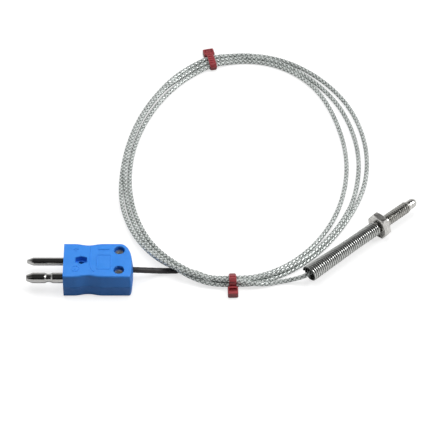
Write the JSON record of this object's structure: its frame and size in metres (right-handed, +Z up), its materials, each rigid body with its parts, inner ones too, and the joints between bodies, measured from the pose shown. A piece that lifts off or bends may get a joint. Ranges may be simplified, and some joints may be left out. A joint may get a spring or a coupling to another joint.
{
  "type": "thermocouple probe",
  "caption": "Screw-in nozzle thermocouple with a spring relief, a steel-braided lead tied in a coil, and a blue two-pin plug.",
  "frame": {"origin": "middle of the probe's length, without its lead, coil and plug, on the bench it lies on", "axes": "+X along the probe towards its tip, +Z up from the bench, +Y across"},
  "size_m": [0.2108, 0.1653, 0.014],
  "materials": {
    "stainless": "turned",
    "spring_steel": "drawn wire",
    "steel_braid": "braided wire",
    "alloy_positive": "polished",
    "alloy_negative": "polished",
    "blue_plastic": "satin",
    "red_plastic": "gloss",
    "black_sleeve": "satin",
    "ceramic": "matt"
  },
  "bodies": {
    "root": {"probe_body": "stainless", "relief_spring": "spring_steel", "crimp_ferrule": "stainless", "insulator_core": "ceramic", "core_wire_positive": "alloy_positive", "core_wire_negative": "alloy_negative", "junction_bead": "alloy_positive", "cable_lead": "steel_braid", "cable_coil": "steel_braid", "cable_tail": "steel_braid", "cable_sleeve": "black_sleeve", "tie_far": "red_plastic", "tie_near": "red_plastic", "plug_base": "blue_plastic", "plug_cover": "blue_plastic", "pin_positive": "alloy_positive", "pin_negative": "alloy_negative", "terminal_screw_positive": "stainless", "terminal_screw_negative": "stainless", "clamp_washer_positive": "stainless", "clamp_washer_negative": "stainless", "cover_screw_1": "stainless", "cover_screw_2": "stainless", "cover_nut_1": "stainless", "cover_nut_2": "stainless", "plug_wire_positive": "alloy_positive", "plug_wire_negative": "alloy_negative"}
  },
  "joints": []
}
